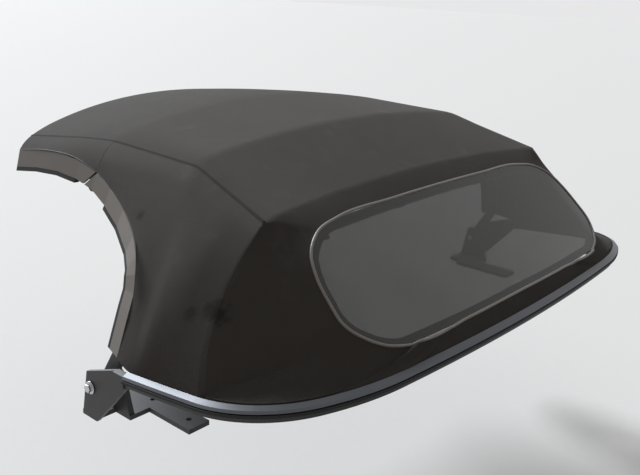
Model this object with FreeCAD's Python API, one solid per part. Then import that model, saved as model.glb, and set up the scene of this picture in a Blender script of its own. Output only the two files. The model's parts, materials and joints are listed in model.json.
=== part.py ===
import FreeCAD, Part
import math
import os

V = FreeCAD.Vector

# Folding soft top of a two-seat open car, in millimetres
# X points to the car's left, Y to its rear and Z up
# The origin is the middle of the four bracket bolts, in the brackets' bottom plane
# Pieces named left are modelled, and their right twins are mirrored

# Fits
SEAT = 0.3
PIN_PLAY = 0.05
COVER_GAP = 2.5
JOINT_GAP = 5.0

# Sheet and section sizes
CLOTH = 4.0
TRIM_WIDTH = 38.0
TRIM_GAUGE = 6.0
RAIL_INSET = 8.0
RAIL_WIDTH = 22.0
RAIL_DEPTH = 14.0
SEAL_WIDTH = 9.0
SEAL_DEPTH = 12.0
BOW_RADIUS = 8.0
CORNER_BOW_RADIUS = 9.0
HEM_HEIGHT = 14.0
PLATE = 8.0

# Round ends of the small straps
EYE_RADIUS = 8.0

# Joint axes seen from the side, as (y, z)
MAIN_PIVOT = (-90.0, 68.0)
FRONT_PIVOT = (-333.0, 385.0)
LINK_PIVOT = (-265.0, 422.0)
BOW_PIVOT = (-45.0, 418.0)
WINDOW_PIVOT = (402.0, 175.0)
LATCH_PIVOT = (-700.0, 456.0)

MAIN_PIN = 7.0
FRONT_PIN = 6.0
LINK_PIN = 4.0
WINDOW_PIN = 4.0
LATCH_PIN = 4.0
PIN_END = 2.0

# Bends of the cover, each in a plane that leans to the rear as it goes down
# name: (middle y, middle z, lean, shoulder x, shoulder z, seam x, seam z, foot x, foot z)
BENDS = {
    "header": (-740.0, 500.0, 1.256, 400.0, 458.0, 475.0, 438.0, 526.0, 414.0),
    "front": (-600.0, 516.0, 0.940, 400.0, 474.0, 475.0, 453.0, 526.0, 431.0),
    "crown": (-450.0, 527.0, 0.546, 400.0, 489.0, 475.0, 468.0, 530.0, 435.5),
    "main": (-353.0, 530.0, 0.528, 401.0, 496.0, 475.0, 475.0, 542.0, 422.0),
    "middle": (-70.0, 511.0, 0.258, 420.0, 485.0, 475.0, 466.0, 530.0, 411.0),
    "corner": (138.0, 433.0, 0.745, 460.0, 416.0, 507.0, 408.0, 543.0, 386.0),
    "sill": (178.0, 411.6, 0.830, 440.0, 396.0, 510.0, 390.0, 543.0, 380.0),
}

# Upper edge of the side window's trim, front to rear: x, y, z
SIDE_EDGE = (
    (526.0, -632.0, 414.0),
    (525.0, -544.0, 427.0),
    (527.0, -455.0, 434.0),
    (532.0, -374.0, 432.0),
    (542.0, -297.0, 422.0),
    (557.0, -231.0, 403.0),
    (580.0, -157.0, 379.0),
    (612.0, -84.0, 349.0),
    (637.0, -43.0, 324.0),
    (652.0, -26.0, 296.0),
    (662.0, -20.0, 262.0),
    (676.0, -20.0, 226.0),
    (701.0, -24.0, 147.0),
)
JOINT_ROW = 4
SIDE_IN_PER_UP = 0.32
SIDE_OUT_PER_BACK = 0.26

# Base edge of the cover, from the middle of the rear round to the front end: radius, turn in degrees
BASE_REAR = 435.0
BASE_REAR_Z = 182.0
BASE_FALL = 51.0 / 494.0
BASE_TURNS = ((5136.0, 4.8), (495.0, 19.7), (195.0, 31.5), (195.0, 31.5), (5490.0, 1.9))

# Distance past every piece, for cuts that go right through one side
WIDE = 2.0 * BASE_REAR

# Rear glass, drawn in a flat plane: top middle and bottom middle as (y, z)
GLASS_TOP = (192.0, 400.0)
GLASS_BOTTOM = (415.0, 215.0)
GLASS_GAUGE = 4.0
FRAME_LAP = 18.0
FRAME_GAUGE = 9.0

# Left half of its outline from the top middle, as (across, down), with a middle point in each arc
GLASS_OUTLINE = (
    (0.0, 0.0),
    (176.0, 1.5),
    (347.0, 6.4),
    (418.0, 23.0),
    (466.0, 61.0),
    (484.0, 104.0),
    (490.5, 155.0),
    (489.5, 200.0),
    (468.0, 235.0),
    (437.0, 262.0),
    (390.0, 281.0),
    (200.0, 289.0),
    (0.0, 290.0),
)

# Brackets that carry the main pivots
BRACKET_BOLT_X = 600.0
BRACKET_BOLT_Y = 55.0
BRACKET_BOLT_RADIUS = 5.5
BRACKET_MARGIN = 25.0
BRACKET_PLATE = 12.0
BRACKET_FOOT = 10.0


def unit(v):
    return V(v).multiply(1.0 / v.Length)


def mirrored(shape):
    return shape.mirror(V(0, 0, 0), V(1, 0, 0))


def save(name, shape):
    shape.exportStep(os.path.join("parts", name + ".step"))


def save_pair(name, shape):
    save(name + "_left", shape)
    save(name + "_right", mirrored(shape))


def both(shape):
    return Part.makeCompound([shape, mirrored(shape)])


def arc(a, b, c):
    """The arc from a through b to c, or a line where they are in line."""
    if (b - a).cross(c - b).Length < 1e-4 * (c - a).Length:
        return Part.makeLine(a, c)
    return Part.Arc(a, b, c).toShape()


def box(x0, x1, y0, y1, z0, z1):
    return Part.makeBox(x1 - x0, y1 - y0, z1 - z0, V(x0, y0, z0))


def bar_x(place, radius, x0, x1):
    """A round bar along X at a (y, z) place."""
    return Part.makeCylinder(radius, x1 - x0, V(x0, place[0], place[1]), V(1, 0, 0))


def plate_x(points, x0, x1):
    """A flat plate of (y, z) points, from x0 to x1."""
    wire = Part.makePolygon([V(x0, y, z) for y, z in points + points[:1]])
    return Part.Face(wire).extrude(V(x1 - x0, 0, 0))


def strap_x(start, end, half_start, half_end, x0, x1):
    """A plate between two (y, z) places with a round end on each."""
    along = unit(V(0, end[0] - start[0], end[1] - start[1]))
    side = V(1, 0, 0).cross(along)
    corners = []
    for place, half, turn in (
        (start, half_start, 1),
        (start, half_start, -1),
        (end, half_end, -1),
        (end, half_end, 1),
    ):
        corners.append((place[0] + turn * half * side.y, place[1] + turn * half * side.z))
    strap = plate_x(corners, x0, x1)
    return strap.fuse([bar_x(start, half_start, x0, x1), bar_x(end, half_end, x0, x1)])


def tube(edges, radius):
    wire = Part.Wire(edges)
    start = edges[0].valueAt(edges[0].FirstParameter)
    along = edges[0].tangentAt(edges[0].FirstParameter)
    ring = Part.Wire([Part.makeCircle(radius, start, along)])
    return wire.makePipeShell([ring], True, False)


def tangent_chain(stops):
    """Arcs that join flat (u, w) stops, level at the first, as (u, w, slope) with a middle point in each."""
    chain = [(stops[0][0], stops[0][1], 0.0)]
    for u, w in stops[1:]:
        u0, w0, slope = chain[-1]
        chord = math.atan2(w - w0, u - u0)
        half = (chord - slope) / 2.0
        reach = math.hypot(u - u0, w - w0) / (2.0 * math.cos(half))
        middle = slope + half
        chain.append((u0 + reach * math.cos(middle), w0 + reach * math.sin(middle), chord))
        chain.append((u, w, 2.0 * chord - slope))
    return chain


def bend_row(name, inset=0.0, reach="foot", shift=V(0, 0, 0)):
    """Points across the car along one bend, from right to left, set in by inset.

    The row ends at the bend's foot, at its seam, or between the two at a half-width given as reach.
    """
    y, z, lean, x1, z1, x2, z2, x3, z3 = BENDS[name]
    fall = math.hypot(1.0, lean)
    stops = [(0.0, 0.0), (x1, (z - z1) * fall), (x2, (z - z2) * fall)]
    if reach != "seam":
        share = 1.0 if reach == "foot" else (reach - x2) / (x3 - x2)
        stops.append((x2 + (x3 - x2) * share, (z - z2 + (z2 - z3) * share) * fall))
    half = []
    for u, w, slope in tangent_chain(stops):
        across = u - inset * math.sin(slope)
        down = (w + inset * math.cos(slope)) / fall
        half.append(V(across, y + down * lean, z - down) + shift)
    return full_row(half)


def full_row(half):
    """A row across the car from its left half, which starts in the middle."""
    return [V(-p.x, p.y, p.z) for p in half[:0:-1]] + half


def between(row_a, row_b, share):
    return [a + (b - a) * share for a, b in zip(row_a, row_b)]


def row_edges(row):
    return [arc(row[i], row[i + 1], row[i + 2]) for i in range(0, len(row) - 2, 2)]


def ruled(edge_a, edge_b):
    """The face of straight lines between two edges that run the same way."""
    return Part.makeLoft([Part.Wire([edge_a]), Part.Wire([edge_b])], False, True).Faces[0]


def closed(faces):
    """The solid inside a closed set of faces."""
    shell = Part.makeShell(faces)
    shell.sewShape()
    shell = Part.Shell(shell.Faces)
    solid = Part.Solid(shell)
    if solid.Volume < 0:
        shell.reverse()
        solid = Part.Solid(shell)
    return solid


def sheet(outer_rows, inner_rows):
    """A closed thin solid between ruled outer and inner surfaces through rows of arc points."""
    faces = []
    for rows in (outer_rows, inner_rows):
        chains = [row_edges(row) for row in rows]
        for chain_a, chain_b in zip(chains, chains[1:]):
            for a, b in zip(chain_a, chain_b):
                faces.append(ruled(a, b))
    for end in (0, -1):
        for a, b in zip(row_edges(outer_rows[end]), row_edges(inner_rows[end])):
            faces.append(ruled(a, b))
        outer_side = [row[end] for row in outer_rows]
        inner_side = [row[end] for row in inner_rows]
        for k in range(len(outer_rows) - 1):
            a = Part.makeLine(outer_side[k], outer_side[k + 1])
            b = Part.makeLine(inner_side[k], inner_side[k + 1])
            faces.append(ruled(a, b))
    return closed(faces)


# Side frame stations


def inward_at(k):
    """Unit (y, z) direction from the trim's upper edge into the window, at one row of SIDE_EDGE."""
    before = SIDE_EDGE[max(k - 1, 0)]
    after = SIDE_EDGE[min(k + 1, len(SIDE_EDGE) - 1)]
    dy = after[1] - before[1]
    dz = after[2] - before[2]
    size = math.hypot(dy, dz)
    return dz / size, -dy / size


def side_point(k, inset, depth):
    """A point of the side frame: inset into the window from the edge, depth towards the car's middle."""
    x, y, z = SIDE_EDGE[k]
    ny, nz = inward_at(k)
    x += -SIDE_IN_PER_UP * nz * inset + SIDE_OUT_PER_BACK * ny * inset
    return V(x - depth, y + ny * inset, z + nz * inset)


def side_bar(rows, inset, width, depth, gauge):
    """A ruled bar that follows the trim's edge over some rows of SIDE_EDGE."""
    sections = []
    for k in rows:
        corners = [
            side_point(k, inset, depth),
            side_point(k, inset + width, depth),
            side_point(k, inset + width, depth + gauge),
            side_point(k, inset, depth + gauge),
        ]
        sections.append(Part.makePolygon(corners + corners[:1]))
    return Part.makeLoft(sections, True, True)


LAST_ROW = len(SIDE_EDGE) - 1
RAIL_OUT = TRIM_GAUGE + SEAT

# The slanted joint between the front and rear trims, from the upper edge down past the front pivot
JOINT_PASS = (-3.0, 8.0)
JOINT_TOP = V(0, SIDE_EDGE[JOINT_ROW][1], SIDE_EDGE[JOINT_ROW][2])
JOINT_LOW = V(0, FRONT_PIVOT[0] + JOINT_PASS[0], FRONT_PIVOT[1] + JOINT_PASS[1])
JOINT_DOWN = unit(JOINT_LOW - JOINT_TOP)
JOINT_BEHIND = V(1, 0, 0).cross(JOINT_DOWN)


def joint_side(turn):
    """A tall block over all that is behind the trim joint, with turn 1, or ahead of it, with turn -1."""
    reach = 4.0 * TRIM_WIDTH
    start = JOINT_TOP - JOINT_DOWN * reach - JOINT_BEHIND * (turn * JOINT_GAP / 2.0)
    end = start + JOINT_DOWN * (2.0 * reach)
    far = JOINT_BEHIND * (turn * reach)
    return plate_x([(p.y, p.z) for p in (start, end, end + far, start + far)], 0.0, WIDE)


# Base edge


def base_chain(offset=0.0, lift=0.0):
    """Points of the base edge from the middle of the rear to the left front end, with arc middles.

    A positive offset moves the line outwards, and lift raises it.
    """
    x, y, heading = 0.0, BASE_REAR + offset, 0.0
    points = [(x, y)]
    for radius, turn in BASE_TURNS:
        turn = math.radians(turn)
        for share in (0.5, 1.0):
            ahead = heading - turn * share
            across = (radius + offset) * (math.sin(heading) - math.sin(ahead))
            forward = (radius + offset) * (math.cos(heading) - math.cos(ahead))
            points.append((x + across, y - forward))
        heading -= turn
        x, y = points[-1]
    return [V(px, py, BASE_REAR_Z - (BASE_REAR - py) * BASE_FALL + lift) for px, py in points]


BASE = base_chain()


def around(outline):
    """A bar that follows the base edge round the rear, with an outline of (outward, up) points."""
    rows = [full_row(base_chain(n, z)) for n, z in outline]
    chains = [row_edges(row) for row in rows]
    faces = []
    for k, chain in enumerate(chains):
        for a, b in zip(chain, chains[k - 1]):
            faces.append(ruled(a, b))
    for end in (0, -1):
        corners = [row[end] for row in rows]
        faces.append(Part.Face(Part.makePolygon(corners + corners[:1])))
    return closed(faces)


# Cover


# Unit steps from the cover's outer face to its inner face, at the top, middle and foot of a row
SIDE_IN = (V(0, 0.44, -0.90), V(-0.75, 0.32, -0.58), V(-0.95, 0.14, -0.28))
QUARTER_IN = (V(0, -0.12, -0.99), V(-0.75, -0.15, -0.64), V(-0.95, 0, -0.31))
CORNER_IN = (V(0, -0.50, -0.87), V(-0.70, -0.50, -0.51), V(-0.84, -0.44, -0.31))
REAR_IN = V(0, -0.64, -0.77)


def inner_rows(rows, directions):
    """Moves each row's points inwards by the cloth's thickness, each point in its own direction."""
    return [[p + d * CLOTH for p, d in zip(row, ways)] for row, ways in zip(rows, directions)]


def lifted(p, inward=(0.0, 0.0)):
    """A point of the base edge raised to the top of the hem, and moved inwards."""
    return p + V(-inward[0], -inward[1], HEM_HEIGHT + 2.0 * SEAT)


def bowed(top, foot, out, back, up):
    """A row of three points whose middle stands off the straight line."""
    return [top, (top + foot) * 0.5 + V(out, back, up), foot]


MAIN_SEAM = bend_row("main", reach="seam")[-1]
MIDDLE_SEAM = bend_row("middle", reach="seam")[-1]
CORNER_SEAM = bend_row("corner", reach="seam")[-1]
SPLIT_TOP = MIDDLE_SEAM + (CORNER_SEAM - MIDDLE_SEAM) * 0.47
SPLIT_FOOT = BASE[-1] + (BASE[-2] - BASE[-1]) * 0.30
FOOT_IN = (4.0, 0.0)
SEAM_STEP = V(0.4, 0, -0.2)
REAR_STEP = V(0, 2.0 * SEAT, -SEAT)
FOOT_BACK = V(0, -CLOTH / 0.64, 0)
MIDDLE_BULGE = (30.0, 29.0, 27.0)
SPLIT_BULGE = (40.0, 14.0, 24.0)
CORNER_BULGE = (28.0, -10.0, 10.0)

# Rows of SIDE_EDGE that the side strip meets, from the trim joint to the foot, without the last but one
STRIP_ROWS = [k for k in range(JOINT_ROW, LAST_ROW + 1) if k != LAST_ROW - 1]

# Side strip beside the trim, a line for each of those rows: share of the seam to the middle bend, bulge x, y, z
SIDE_ROWS = (
    (0.0, 4.0, 3.0, 3.0),
    (0.32, 7.0, 3.0, 6.0),
    (0.56, 10.0, 3.0, 10.0),
    (0.74, 14.0, 4.0, 14.0),
    (0.84, 18.0, 6.0, 17.0),
    (0.89, 21.0, 9.0, 19.0),
    (0.93, 25.0, 12.0, 21.0),
    (0.97, 26.0, 32.0, 48.0),
)


def front_cover():
    names = ("header", "front", "crown", "main")
    outer = [bend_row(name) for name in names]
    inner = [bend_row(name, CLOTH) for name in names]
    lift = COVER_GAP + 2.0 * SEAT
    for rows in (outer, inner):
        for name, row in zip(names, rows):
            back = -BENDS[name][2] * lift
            row[0] += V(2.0, back, lift)
            row[-1] += V(-2.0, back, lift)
    return sheet(outer, inner)


def roof_cover():
    names = ("main", "middle")
    outer = [bend_row(name, reach="seam") for name in names]
    inner = [bend_row(name, CLOTH, "seam") for name in names]
    return sheet(outer, inner)


def rear_roof_cover():
    outer = [bend_row(name, reach="seam") for name in ("middle", "corner")]
    inner = [bend_row("middle", CLOTH, "seam"), [p + CORNER_IN[0] * CLOTH for p in outer[1]]]
    return sheet(outer, inner)


def side_cover():
    """The strip of cover over the main arm, from the main bend back to a line behind the middle bend."""
    rows = []
    for k, (share, out, back, up) in zip(STRIP_ROWS, SIDE_ROWS):
        top = MAIN_SEAM + (MIDDLE_SEAM - MAIN_SEAM) * share + SEAM_STEP
        rows.append(bowed(top, side_point(k, -COVER_GAP, 1.0), out, back, up))
    rows[0] = [p + V(0, SEAT, 0) for p in rows[0]]
    rows.append(bowed(MIDDLE_SEAM + SEAM_STEP, lifted(BASE[-1], FOOT_IN), *MIDDLE_BULGE))
    rows.append(bowed(SPLIT_TOP + SEAM_STEP, lifted(SPLIT_FOOT, FOOT_IN), *SPLIT_BULGE))
    return sheet(rows, inner_rows(rows, [SIDE_IN] * len(rows)))


def quarter_cover():
    """The panel of cover behind the side strip, back to the corner bend."""
    rows = [[p + V(0, SEAT, 0) for p in bowed(SPLIT_TOP, lifted(SPLIT_FOOT, FOOT_IN), *SPLIT_BULGE)]]
    for share, foot, out, back, up in (
        (0.40, BASE[8], 36.0, 4.0, 21.0),
        (0.72, BASE[7], 32.0, -4.0, 16.0),
        (1.0, BASE[6], *CORNER_BULGE),
    ):
        top = SPLIT_TOP + (CORNER_SEAM - SPLIT_TOP) * share
        rows.append(bowed(top, lifted(foot, FOOT_IN), out, back, up))
    rows = [[p + SEAM_STEP for p in row] for row in rows]
    return sheet(rows, inner_rows(rows, (SIDE_IN, QUARTER_IN, QUARTER_IN, CORNER_IN)))


def rear_rows():
    """The rows of the rear cover's outer face: corner bend, sill above the glass, and foot."""
    rows = [bend_row(name, 0.0, "seam", REAR_STEP) for name in ("corner", "sill")]
    rows.append(full_row([lifted(p, (0.0, 2.0)) for p in BASE[:5]]))
    return rows


def rear_corner():
    """The corner of the rear cover, between the corner bend and the window panel's side."""
    top, sill, foot = [row[-1] + V(SEAT, 0, 0) for row in rear_rows()]
    crease = bowed(top, lifted(BASE[6], FOOT_IN) + REAR_STEP, *CORNER_BULGE)
    side = bowed(sill, foot, 0.0, 0.0, 0.0)
    half = between(crease, side, 0.5)
    half = [half[0], half[1] + V(3.0, 3.0, 2.0), lifted(BASE[5], (2.5, 1.5))]
    inner = [
        [top + CORNER_IN[0] * CLOTH, crease[1] + CORNER_IN[1] * CLOTH, crease[2] + CORNER_IN[2] * CLOTH],
        [half[0] + REAR_IN * CLOTH, half[1] + CORNER_IN[1] * CLOTH, half[2] + CORNER_IN[2] * CLOTH],
        bowed(sill + REAR_IN * CLOTH, foot + FOOT_BACK, 0.0, 0.0, 0.0),
    ]
    return sheet([crease, half, side], inner)


def rear_cover():
    outer = rear_rows()
    ways = (CORNER_IN[0] * CLOTH, REAR_IN * CLOTH, FOOT_BACK)
    inner = [[p + way for p in row] for row, way in zip(outer, ways)]
    return sheet(outer, inner).cut(glass_block(COVER_GAP))


def cover_hem():
    return around([(0.0, SEAT), (0.0, HEM_HEIGHT), (-CLOTH, HEM_HEIGHT), (-CLOTH, SEAT)])


# Rear window


def glass_block(margin):
    """A tall block through the window, on its outline grown by margin."""
    top = V(0, GLASS_TOP[0], GLASS_TOP[1])
    down = unit(V(0, GLASS_BOTTOM[0], GLASS_BOTTOM[1]) - top)
    outward = V(1, 0, 0).cross(down)
    points = []
    for k, (u, v) in enumerate(GLASS_OUTLINE):
        a = GLASS_OUTLINE[max(k - 1, 0)]
        b = GLASS_OUTLINE[min(k + 1, len(GLASS_OUTLINE) - 1)]
        size = math.hypot(b[0] - a[0], b[1] - a[1])
        out_u, out_v = (b[1] - a[1]) / size, -(b[0] - a[0]) / size
        if u == 0.0:
            out_u, out_v = 0.0, math.copysign(1.0, out_v)
        points.append(V(u + out_u * margin, 0, 0) + top + down * (v + out_v * margin))
    edges = row_edges(points) + row_edges([V(-p.x, p.y, p.z) for p in points[::-1]])
    face = Part.Face(Part.Wire(edges))
    face.translate(outward * -80.0)
    return face.extrude(outward * 140.0)


def rear_layer(depth, gauge):
    """A layer under the rear cover's outer face, from a little above the sill to a little below the foot."""
    _, sill, foot = rear_rows()
    rows = [between(sill, foot, share) for share in (-0.08, 1.04)]
    outer = [[p + REAR_IN * depth for p in row] for row in rows]
    inner = [[p + REAR_IN * (depth + gauge) for p in row] for row in rows]
    return sheet(outer, inner)


def rear_glass():
    return rear_layer(0.0, GLASS_GAUGE).common(glass_block(0.0))


# Arms from the window frame down to its hinge, with their upper ends as (y, z) from the hinge
WINDOW_ARM_X = 400.0
WINDOW_ARM_ROOT = (-10.0, 26.0)
WINDOW_ARM_RADIUS = 9.0


def over_frame():
    """All that lies above the window frame's upper face."""
    reach = 5.0 * GLASS_GAUGE
    return rear_layer(-reach, reach + GLASS_GAUGE + SEAT)


def window_frame():
    layer = rear_layer(GLASS_GAUGE + SEAT, FRAME_GAUGE)
    ring = layer.common(glass_block(0.0)).cut(glass_block(-FRAME_LAP))
    root = (WINDOW_PIVOT[0] + WINDOW_ARM_ROOT[0], WINDOW_PIVOT[1] + WINDOW_ARM_ROOT[1])
    arm = strap_x(root, WINDOW_PIVOT, WINDOW_ARM_RADIUS, EYE_RADIUS, WINDOW_ARM_X - PLATE, WINDOW_ARM_X)
    arm = arm.cut(bar_x(WINDOW_PIVOT, WINDOW_PIN + PIN_PLAY, 0.0, WIDE))
    arm = arm.cut(over_frame())
    return ring.fuse([arm, mirrored(arm)])


# Corner bow under the corner bend, and its tabs down to the top of the window frame
CORNER_BOW_INSET = 10.0
CORNER_BOW_SHIFT = V(0, -11.0, -4.5)
TAB_XS = (150.0, 400.0)
TAB_HALF = 10.0
TAB_ROOT = (-10.0, -14.0)
TAB_TIP = (3.7, -18.4)
TAB_DROP = 8.0


def corner_bow():
    row = bend_row("corner", CORNER_BOW_INSET, "seam", CORNER_BOW_SHIFT)
    bow = tube(row_edges(row), CORNER_BOW_RADIUS)
    y, z = BENDS["corner"][:2]
    tabs = []
    for x in TAB_XS:
        near = (y + TAB_ROOT[0] + 0.02 * x, z + TAB_ROOT[1] - 0.02 * x)
        drop = TAB_DROP * (x / WINDOW_ARM_X) ** 2
        far = (GLASS_TOP[0] + TAB_TIP[0] + 1.6 * drop, GLASS_TOP[1] + TAB_TIP[1] - 1.9 * drop)
        tab = strap_x(near, far, 5.0, 4.0, x - TAB_HALF, x + TAB_HALF)
        tabs += [tab, mirrored(tab)]
    return bow.fuse(tabs).cut([window_frame(), over_frame()])


# Base

# Outward reach of the base bow and of the moulding that covers it, and the bow's depth below the base edge
BOW_REACH = 8.0
MOULDING_REACH = 13.5
BASE_BOW_DEPTH = 28.0


def tension_bow():
    """The boxed base bow under the moulding, with two lugs for the rear window."""
    low = -BASE_BOW_DEPTH
    bow = around([(-1.0, -7.0), (0.0, -4.0), (BOW_REACH, -8.5), (BOW_REACH, low), (-1.0, low)])
    x0 = WINDOW_ARM_X + SEAT
    root = (BASE_REAR - 17.0, WINDOW_PIVOT[1] - 13.0)
    lug = strap_x(root, WINDOW_PIVOT, EYE_RADIUS, EYE_RADIUS, x0, x0 + PLATE)
    lug = lug.cut(bar_x(WINDOW_PIVOT, WINDOW_PIN, 0.0, WIDE))
    return bow.fuse([lug, mirrored(lug)])


def base_moulding():
    face = [(0.0, 0.0), (MOULDING_REACH - 3.5, -5.5), (MOULDING_REACH, -10.0)]
    return around(face + [(MOULDING_REACH - 1.5, -11.5), (BOW_REACH + 1.0, -8.5), (0.0, -3.5)])


def base_seal():
    inner = BOW_REACH + SEAT
    outer = MOULDING_REACH + 1.5
    return around([(inner, -12.2), (outer, -12.2), (outer, -17.5), (inner, -17.5)])


# Arm of the main rail at its lower end, and the two bracket plates that it swings between
ARM_STEP = 5.0
ARM_FOOT = side_point(LAST_ROW, RAIL_INSET + RAIL_WIDTH / 2.0, RAIL_OUT + ARM_STEP)
ARM_INNER = ARM_FOOT.x - RAIL_DEPTH
BRACKET_INNER = ARM_INNER - SEAT - BRACKET_PLATE
BRACKET_OUTER = BASE[-1].x - 4.0
BRACKET_AHEAD = 32.0


def main_bracket():
    """The pivot bracket: a bolted flange, an ear inside the arm and a cheek outside it with the bow's socket."""
    y, z = MAIN_PIVOT
    end = BASE[-1]
    front = y - BRACKET_AHEAD
    inner1 = BRACKET_INNER + BRACKET_PLATE
    outer1 = BRACKET_OUTER + PLATE
    ear = [(front, 0.0), (y + 56.0, 0.0), (y + 30.0, z + 18.0), (y + 12.0, z + 30.0), (y - 12.0, z + 30.0)]
    inner = plate_x(ear, BRACKET_INNER, inner1)
    half = BRACKET_BOLT_Y + 1.2 * BRACKET_MARGIN
    flange_x = BRACKET_BOLT_X + BRACKET_MARGIN
    flange = box(BRACKET_BOLT_X - BRACKET_MARGIN, flange_x, -half, half, 0.0, BRACKET_FOOT)
    web = box(BRACKET_BOLT_X, inner1, front, y + 56.0, 0.0, BRACKET_FOOT)
    bridge = box(BRACKET_INNER, outer1, front, y + 10.0, 0.0, BRACKET_FOOT)
    top = end.z - 7.5
    cheek = [(front, 0.0), (y + 14.0, 0.0), (end.y - 43.0, z - 8.0), (end.y - 3.0, top - 28.0)]
    cheek += [(end.y - 3.0, top), (end.y - 33.0, top), (y - 12.0, z + 30.0)]
    outer = plate_x(cheek, BRACKET_OUTER, outer1)
    socket_low = end.z - BASE_BOW_DEPTH - 3.0
    socket_outer = end.x + BOW_REACH + 3.0
    socket = box(BRACKET_OUTER, socket_outer, end.y - 30.0, end.y - SEAT, socket_low, end.z - 6.0)
    bracket = inner.fuse([flange, web, bridge, outer, socket])
    bracket = bracket.cut(bar_x(MAIN_PIVOT, MAIN_PIN + PIN_PLAY, 0.0, WIDE))
    for side in (-1, 1):
        low = V(BRACKET_BOLT_X, side * BRACKET_BOLT_Y, -BRACKET_FOOT)
        bracket = bracket.cut(Part.makeCylinder(BRACKET_BOLT_RADIUS, 3.0 * BRACKET_FOOT, low))
    return bracket


# Main arms

# The plane where the front and main rails' lugs meet at the front pivot, set in from the last row ahead of it
LUG_STEP = 14.5
FRONT_LUG_X = side_point(JOINT_ROW - 1, RAIL_INSET + RAIL_WIDTH / 2.0, RAIL_OUT + LUG_STEP).x
LUG_RADIUS = 13.0
MAIN_LUG_DEPTH = 16.5
ARM_HUB = 18.0
ARM_HALF = 15.0


def main_rail():
    rail = side_bar(range(JOINT_ROW, LAST_ROW + 1), RAIL_INSET, RAIL_WIDTH, RAIL_OUT, RAIL_DEPTH)
    hub = bar_x(MAIN_PIVOT, ARM_HUB, ARM_INNER, ARM_FOOT.x)
    leg = strap_x(MAIN_PIVOT, (ARM_FOOT.y, ARM_FOOT.z), ARM_HALF, RAIL_WIDTH / 2.0, ARM_INNER, ARM_FOOT.x)
    near = side_point(JOINT_ROW, RAIL_INSET + RAIL_WIDTH / 2.0, RAIL_OUT)
    root = (near.y + 12.0, near.z - 3.0)
    x0 = FRONT_LUG_X + SEAT / 2.0
    lug = strap_x(FRONT_PIVOT, root, LUG_RADIUS, RAIL_WIDTH / 2.0, x0, x0 + MAIN_LUG_DEPTH)
    rail = rail.fuse([hub, leg, lug])
    rail = rail.cut(bar_x(MAIN_PIVOT, MAIN_PIN, 0.0, WIDE))
    return rail.cut(bar_x(FRONT_PIVOT, FRONT_PIN + PIN_PLAY, 0.0, WIDE))


def rear_trim():
    rows = range(JOINT_ROW - 1, LAST_ROW + 1)
    return side_bar(rows, 0.0, TRIM_WIDTH, 0.0, TRIM_GAUGE).cut(joint_side(-1))


def rear_seal():
    return side_bar(range(JOINT_ROW + 1, LAST_ROW + 1), TRIM_WIDTH + SEAT, SEAL_WIDTH, 0.0, SEAL_DEPTH)


def main_pins():
    pin = bar_x(MAIN_PIVOT, MAIN_PIN, BRACKET_INNER - 6.0, BRACKET_OUTER + PLATE + 6.0)
    return both(pin)


# Front panel


HEADER_INSET = CLOTH + 1.5 * SEAT
HEADER_GAUGE = 14.0
HEADER_SIDE_GAP = 26.0
HEADER_SEAL = 5.0
HEADER_SEAL_SHIFT = V(0, 16.0, 1.8)


def header_bow():
    """A curved bar under the front edge of the cover, part of the way back to the next bend."""
    outer, inner = [], []
    for share in (0.04, 0.54):
        for rows, depth in ((outer, HEADER_INSET), (inner, HEADER_INSET + HEADER_GAUGE)):
            ends = [
                bend_row(name, depth, BENDS[name][7] - HEADER_SIDE_GAP) for name in ("header", "front")
            ]
            rows.append(between(*ends, share))
    return sheet(outer, inner)


def header_seal():
    inset = HEADER_INSET + HEADER_GAUGE + 1.5 * HEADER_SEAL
    return tube(row_edges(bend_row("header", inset, "seam", HEADER_SEAL_SHIFT)), HEADER_SEAL)


FRONT_BOW_GAP = 22.0


def front_bow():
    """The bow under the cover's main bend. Its inset allows for the bend's lean."""
    inset = CLOTH + (BOW_RADIUS + SEAT) * 1.01 * math.hypot(1.0, BENDS["main"][2])
    return tube(row_edges(bend_row("main", inset, BENDS["main"][7] - FRONT_BOW_GAP)), BOW_RADIUS)


# Links run beside the glass when the top is folded, and its outline's arcs pass the widest point by under 3
LINK_CLEARANCE = 7.8
LINK_X = max(u for u, v in GLASS_OUTLINE) + LINK_CLEARANCE
LINK_GAUGE = 4.0

# Front end of the front rail: the block that seats on the header bow, as y0, y1, z0, z1
GUSSET = (-640.0, -590.0, 386.0, 424.0)


def front_rail():
    rail = side_bar(range(0, JOINT_ROW), RAIL_INSET, RAIL_WIDTH, RAIL_OUT, RAIL_DEPTH)
    rail = rail.cut(box(0.0, WIDE, FRONT_PIVOT[0] - 20.0, 0.0, 0.0, WIDE))
    x0, x1 = FRONT_LUG_X - RAIL_DEPTH, FRONT_LUG_X - SEAT / 2.0
    back = side_point(JOINT_ROW - 1, RAIL_INSET + RAIL_WIDTH / 2.0, 0.0)
    lug = strap_x((back.y, back.z), FRONT_PIVOT, RAIL_WIDTH / 2.0, LUG_RADIUS, x0, x1)
    stay = strap_x(FRONT_PIVOT, LINK_PIVOT, LUG_RADIUS, 10.0, x0, x1)
    boss = bar_x(LINK_PIVOT, EYE_RADIUS, LINK_X + LINK_GAUGE + SEAT, x0)
    inner = side_point(0, RAIL_INSET + RAIL_WIDTH, RAIL_OUT + RAIL_DEPTH).x
    gusset = box(inner - 38.0, inner - 4.0, *GUSSET)
    y, z = FRONT_PIVOT
    ear = strap_x((y + 33.0, z + 16.0), (y + 30.0, z + 39.0), 0.4 * RAIL_WIDTH, EYE_RADIUS, x0, x1)
    rail = rail.fuse([lug, stay, boss, gusset, ear])
    rail = rail.cut(bar_x(FRONT_PIVOT, FRONT_PIN, 0.0, WIDE))
    rail = rail.cut(bar_x(LINK_PIVOT, LINK_PIN, 0.0, WIDE))
    rail = rail.cut([header_bow(), header_seal(), front_bow(), front_cover()])
    return max(rail.Solids, key=lambda s: s.Volume)


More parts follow.
